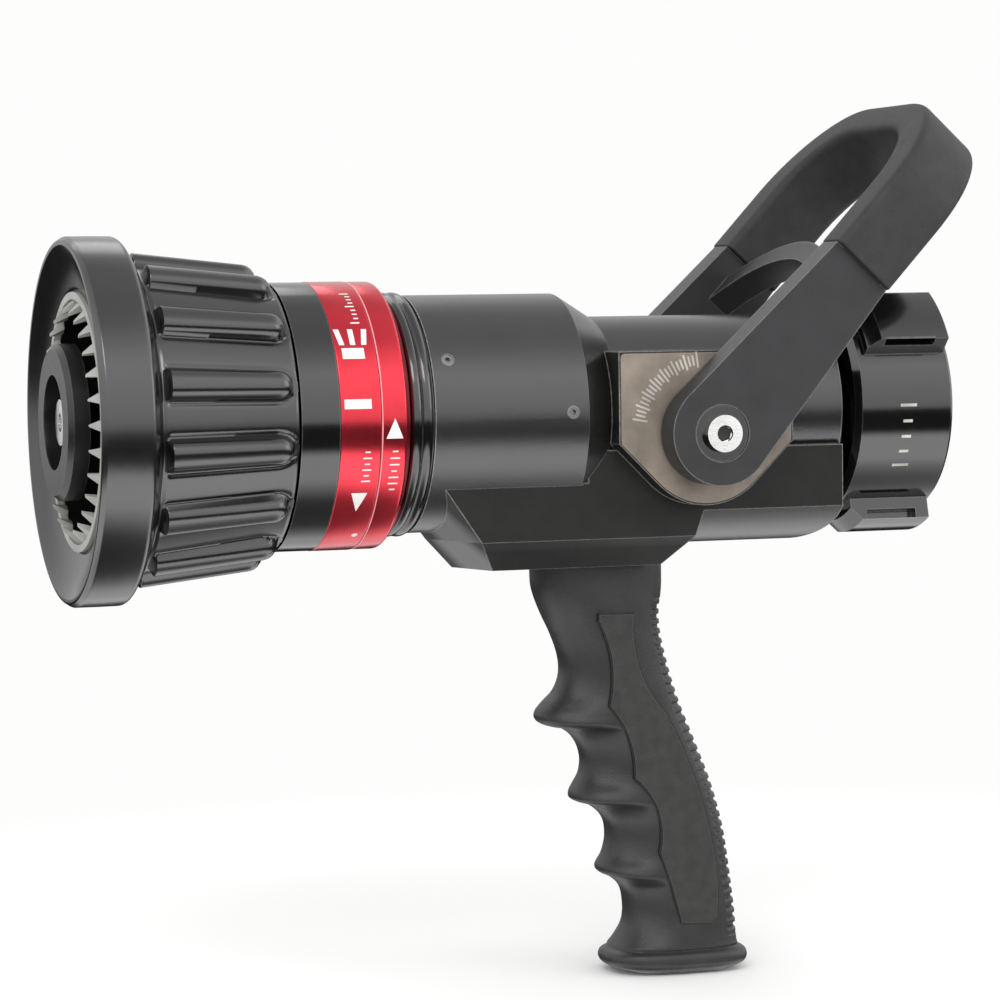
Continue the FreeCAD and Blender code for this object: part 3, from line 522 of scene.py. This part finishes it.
def make_panel_joints():
    """Dark joint line round each side panel."""
    edge = [(-105.4, -59.2), (-94.6, -59.4)]
    rear_arcs = (((-93.2, -75), (-85.2, -88.6)), ((-76, -109), (-70.4, -130)), ((-69.2, -141), (-69.6, -150)))
    front_arcs = (((-83.6, -140), (-87, -130)), ((-87.4, -118), (-94.6, -107.6)),
                  ((-95.6, -98), (-102.2, -86)), ((-101.6, -72), (-105.4, -61)))
    for mid, end in rear_arcs:
        edge += through(edge[-1], mid, end)
    edge += [(-71.4, -151.6), (-80.6, -151.2)]
    for mid, end in front_arcs:
        edge += through(edge[-1], mid, end)
    for side, sign in SIDES:
        ring_in, ring_out = [], []
        for k, point in enumerate(edge):
            along = (Vector(edge[(k + 1) % len(edge)]) - Vector(edge[k - 1])).normalized()
            normal = Vector((-along.y, along.x))
            ring_in.append(Vector(point) - normal * 0.25)
            ring_out.append(Vector(point) + normal * 0.45)
        corners = ((ring_in, PANEL_INSIDE), (ring_out, PANEL_INSIDE), (ring_out, PANEL_FACE),
                   (ring_in, PANEL_FACE))
        loops = [[Vector((q.x, y * sign, q.y)) * MM for q in ring] for ring, y in corners]
        bm = bmesh.new()
        grid_surface(bm, loops, close_rows=True)
        finish_mesh("panel_joint_" + side, bm, SEAL, "nozzle_body", smooth=20)


# -------------------------------------------------------------- bail hand grip
BAIL_TILT = math.radians(42.8)
SLEEVE_STEPS, SLEEVE_HALF, SLEEVE_BASE = 100, 10.75, 64.15


def arch_points(half, top, corner, base, count):
    """Points up one leg, over the top and down the other, as (y, u) with u along the arm."""
    leg, flat = top - corner - base, 2 * (half - corner)
    out = []
    for k in range(count + 1):
        # equal shares of each of the five stretches keep the inner and outer outlines in step
        s = k / count * 5
        stretch, t = min(int(s), 4), s - min(int(s), 4)
        if stretch == 0:
            out.append((-half, base + t * leg))
        elif stretch == 1:
            a = math.pi - t * math.pi / 2
            out.append((-half + corner + corner * math.cos(a), top - corner + corner * math.sin(a)))
        elif stretch == 2:
            out.append((-half + corner + t * flat, top))
        elif stretch == 3:
            a = math.pi / 2 - t * math.pi / 2
            out.append((half - corner + corner * math.cos(a), top - corner + corner * math.sin(a)))
        else:
            out.append((half, top - corner - t * leg))
    return out


def bail_place(n, y, u):
    """Bail coordinates (across, side, out along the arm) to the frame."""
    c, s = math.cos(BAIL_TILT), math.sin(BAIL_TILT)
    return PIVOT + Vector((n * c + u * s, y, -n * s + u * c)) * MM


def make_bail_sleeve():
    """Rubber hand grip: a rounded bar swept along the arch, with slightly crowned flanks."""
    outer = arch_points(49.2, 121.3, 35, SLEEVE_BASE, SLEEVE_STEPS)
    inner = arch_points(34.5, 110.0, 22.5, SLEEVE_BASE, SLEEVE_STEPS)
    rows = []
    for (yo, uo), (yi, ui) in zip(outer, inner):
        half = math.hypot(yo - yi, uo - ui) / 2
        row = []
        corners = [(-SLEEVE_HALF, -half), (SLEEVE_HALF, -half), (SLEEVE_HALF, half), (-SLEEVE_HALF, half)]
        for n, w in rounded(corners, 2.6, 6):
            outward = min(1, max(0, (w / half + 1) / 2))
            crown = 0.35 * (n / SLEEVE_HALF) ** 2
            outward += crown / (2 * half) * (1 if outward < 0.5 else -1)
            row.append(bail_place(n, yi + (yo - yi) * outward, ui + (uo - ui) * outward))
        rows.append(row)
    bm = bmesh.new()
    verts = grid_surface(bm, rows)
    bm.faces.new(verts[0])
    bm.faces.new(verts[-1])
    obj = finish_mesh("bail_sleeve_moulded", bm, MATT, "bail", "bail_sleeve", smooth=45, slot="bail_rubber")
    add_bevel(obj, "ends", 0.5 * MM, 2, math.radians(60))


# ------------------------------------------------- boss face, engraving, thread
def plate_mesh(name, outline, y_in, y_out, look, body, edge=0.5, slot=None):
    """Flat plate in the XZ plane with a rounded outline and a chamfered outer edge."""
    bm = bmesh.new()
    cx = sum(p[0] for p in outline) / len(outline)
    cz = sum(p[1] for p in outline) / len(outline)
    rows = []
    for y, shrink in ((y_in, 0.0), (y_out - math.copysign(edge, y_out - y_in), 0.0), (y_out, edge)):
        row = []
        for x, z in outline:
            away = Vector((cx - x, 0, cz - z)).normalized() * shrink
            row.append(Vector((x + away.x, y, z + away.z)) * MM)
        rows.append(row)
    verts = grid_surface(bm, rows)
    bm.faces.new(verts[0])
    bm.faces.new(verts[-1])
    return finish_mesh(name, bm, look, body, smooth=25, slot=slot)


BOSS_HALF, BOSS_TOP, BOSS_ARC_R = 26.4, 17.1, 20.7
BOSS_ROOT_Y, BOSS_FACE_Y = 33.6, 34.72
SCALE_R, SCALE_HALF_WIDTH, SCALE_DEPTH, SCALE_LIFT = 21.0, 0.28, 0.08, 0.03


def boss_outline():
    """Flat top and sides, and 45 degree flanks down to an arc round the trunnion."""
    turns = [math.radians(a) for a in range(225, 316, 6)]
    arc = [(PIVOT_X + BOSS_ARC_R * math.cos(t), PIVOT_Z + BOSS_ARC_R * math.sin(t)) for t in turns]
    corner = PIVOT_Z - BOSS_ARC_R * math.sqrt(2) + BOSS_HALF
    front, rear = PIVOT_X - BOSS_HALF, PIVOT_X + BOSS_HALF
    return rounded([(front, BOSS_TOP), (front, corner)] + arc + [(rear, corner), (rear, BOSS_TOP)], 1.6)


def scale_tick(bm, angle, length, sign):
    """One raised tick of the graduated arc round the trunnion."""
    out = Vector((math.cos(angle), 0, math.sin(angle)))
    across = Vector((-math.sin(angle), 0, math.cos(angle)))
    centre = Vector((PIVOT_X, (BOSS_FACE_Y + 0.02) * sign, PIVOT_Z)) + out * SCALE_R
    base = [centre + out * u * length / 2 + across * v * SCALE_HALF_WIDTH
            for u, v in ((-1, -1), (1, -1), (1, 1), (-1, 1))]
    low = [bm.verts.new((p - Vector((0, SCALE_DEPTH * sign, 0))) * MM) for p in base]
    high = [bm.verts.new((p + Vector((0, SCALE_LIFT * sign, 0))) * MM) for p in base]
    bm.faces.new(low)
    bm.faces.new(high)
    for i in range(4):
        j = (i + 1) % 4
        bm.faces.new((low[i], low[j], high[j], high[i]))


def make_boss_faces():
    for side, sign in SIDES:
        plate_mesh("boss_face_" + side, boss_outline(), BOSS_ROOT_Y * sign, BOSS_FACE_Y * sign, BOSS,
                   "nozzle_body", 0.45, "cast_black")
        bm = bmesh.new()
        for k in range(22):
            scale_tick(bm, math.radians(98 + k * 3.4), 3.0 if k % 3 else 4.6, sign)
        finish_mesh("boss_scale_" + side, bm, GREY_MARK, "nozzle_body", smooth=20)


THREAD_PITCH, THREAD_TURNS, THREAD_ROOT, THREAD_CREST = 2.8, 6, 25.32, 24.5


def make_thread():
    """Thread ridges inside the swivel, ahead of its plain wall."""
    profile = []
    for k in range(THREAD_TURNS):
        x = -17.2 + k * THREAD_PITCH
        profile += [(x, THREAD_ROOT), (x + 0.9, THREAD_CREST), (x + 1.3, THREAD_CREST), (x + 2.2, THREAD_ROOT)]
    profile += [(-0.3, 25.36), (-17.6, 25.36)]
    lathe("hose_thread", profile, GLOSS, "swivel", smooth=20, steps=120, slot="anodised_black")


def make_socket_shades():
    """Dark hexagonal plugs at the bottom of the two trunnion screws' hex sockets: painted shade for the recesses."""
    for side, sign in SIDES:
        rows = []
        for y, r in ((46.9, 2.28), (47.35, 2.34), (47.35, 1.5), (47.15, 0.6)):
            turns = [k * math.pi / 3 + 0.3 for k in range(6)]
            rows.append([PIVOT + Vector((r * math.cos(t), y * sign, r * math.sin(t))) * MM for t in turns])
        bm = bmesh.new()
        verts = grid_surface(bm, rows)
        bm.faces.new(verts[0])
        bm.faces.new(verts[-1])
        # dark plug that paints the shade deep in the hex socket
        finish_mesh("socket_shade_" + side, bm, SEAL, "bail", smooth=20)


make_bumper()
make_red_rings()
make_marks()
make_grip()
make_panel_joints()
make_bail_sleeve()
make_boss_faces()
make_thread()
make_socket_shades()

# -------------------------------------------------------- studio, camera, light
PAPER_WHITE = (0.985, 0.985, 0.98, 1)
STUDIO_GAIN = 2.4


def make_floor(lowest):
    """Pale paper that fades into the plain background away from the nozzle."""
    mesh = bpy.data.meshes.new("floor")
    ground = bmesh.new()
    bmesh.ops.create_circle(ground, cap_ends=True, radius=6, segments=96)
    ground.to_mesh(mesh)
    ground.free()
    floor = bpy.data.objects.new("floor", mesh)
    floor.location = (-0.08, 0, lowest - 0.5 * MM)
    paper = material("floor_paper", (0.86, 0.86, 0.855), 0.9, 0.0, 60, 0.0, 0.0)
    mesh.materials.append(paper)
    tree = paper.node_tree
    link = tree.links.new
    spot, blend = add_node(tree, "TexCoord"), add_node(tree, "MixShader")
    reach = add_node(tree, "VectorMath", operation="LENGTH")
    glow = add_node(tree, "Emission", {"Color": PAPER_WHITE})
    fade = add_node(tree, "MapRange", {"From Min": 0.12, "From Max": 0.40})
    link(spot.outputs["Object"], reach.inputs[0])
    link(reach.outputs["Value"], fade.inputs["Value"])
    link(fade.outputs["Result"], blend.inputs["Fac"])
    link(tree.nodes["Principled BSDF"].outputs["BSDF"], blend.inputs[1])
    link(glow.outputs["Emission"], blend.inputs[2])
    link(blend.outputs["Shader"], tree.nodes["Material Output"].inputs["Surface"])
    bpy.context.collection.objects.link(floor)
    floor.visible_glossy = False
    floor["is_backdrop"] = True


def make_world():
    """Soft studio: bright and dark bands by height for the reflections, and plain white for the camera."""
    world = bpy.data.worlds.new("studio")
    bpy.context.scene.world = world
    world.use_nodes = True
    tree = world.node_tree
    link = tree.links.new
    coord, split = add_node(tree, "TexCoord"), add_node(tree, "SeparateXYZ")
    link(coord.outputs["Generated"], split.inputs["Vector"])
    height = add_node(tree, "MapRange", {"From Min": -1, "From Max": 1})
    link(split.outputs["Z"], height.inputs["Value"])
    bands = add_node(tree, "ValToRGB")
    stops = [(0.0, 0.05), (0.035, 0.12), (0.11, 0.95), (0.245, 1.0), (0.29, 0.02), (0.448, 0.02),
             (0.480, 0.58), (0.80, 0.78), (0.95, 0.34), (1.0, 0.30)]
    first, last = bands.color_ramp.elements
    first.position, first.color = 0.0, (*[stops[0][1]] * 3, 1)
    last.position, last.color = 1.0, (*[stops[-1][1]] * 3, 1)
    for at, value in stops[1:-1]:
        bands.color_ramp.elements.new(at).color = (value, value, value, 1)
    link(height.outputs["Result"], bands.inputs["Fac"])
    rear = add_node(tree, "MapRange",
                    {"From Min": 0.1, "From Max": 0.7, "To Min": STUDIO_GAIN, "To Max": STUDIO_GAIN / 2})
    link(split.outputs["Y"], rear.inputs["Value"])
    gain = add_node(tree, "Mix", {"Factor": 1}, data_type="RGBA", blend_type="MULTIPLY")
    link(bands.outputs["Color"], gain.inputs["A"])
    link(rear.outputs["Result"], gain.inputs["B"])
    choice = add_node(tree, "Mix", {"B": PAPER_WHITE}, data_type="RGBA")
    link(add_node(tree, "LightPath").outputs["Is Camera Ray"], choice.inputs["Factor"])
    link(gain.outputs["Result"], choice.inputs["A"])
    link(choice.outputs["Result"], tree.nodes["Background"].inputs["Color"])


def area_light(name, place, aim, size, power):
    data = bpy.data.lights.new(name, "AREA")
    data.shape, data.size, data.size_y, data.energy = "RECTANGLE", size[0], size[1], power
    obj = bpy.data.objects.new(name, data)
    bpy.context.collection.objects.link(obj)
    obj.location = place
    obj.rotation_euler = (Vector(aim) - Vector(place)).to_track_quat("-Z", "Y").to_euler()


def make_camera(aim, azimuth, elevation, roll, distance, lens):
    """Camera at a distance from the aim point, seen from the -Y side; angles in degrees."""
    data = bpy.data.cameras.new("camera")
    data.lens, data.sensor_width = lens, 36
    camera = bpy.data.objects.new("camera", data)
    bpy.context.collection.objects.link(camera)
    bpy.context.scene.camera = camera
    az, el, roll = math.radians(azimuth), math.radians(elevation), math.radians(roll)
    behind = Vector((math.sin(az) * math.cos(el), -math.cos(az) * math.cos(el), math.sin(el)))
    right = Vector((math.cos(az), math.sin(az), 0))
    up = behind.cross(right)
    right, up = right * math.cos(roll) + up * math.sin(roll), up * math.cos(roll) - right * math.sin(roll)
    turn = Matrix((right, up, behind)).transposed().to_4x4()
    camera.matrix_world = Matrix.Translation(Vector(aim) + behind * distance) @ turn


make_floor(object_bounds()[0].z)
make_world()
area_light("key", (-0.9, -1.3, 1.25), (-0.12, 0, -0.02), (0.9, 0.6), 8)
area_light("fill", (1.3, -0.9, 0.5), (-0.12, 0, -0.02), (0.8, 0.8), 3)
area_light("rim", (-0.2, 1.3, 1.2), (-0.12, 0, 0), (1.0, 0.6), 2.5)
make_camera((-0.130402, 0, -0.025683), azimuth=-18.643, elevation=3.287, roll=-0.752, distance=1.042513,
            lens=128.65)
bpy.context.scene.view_settings.view_transform = "Standard"
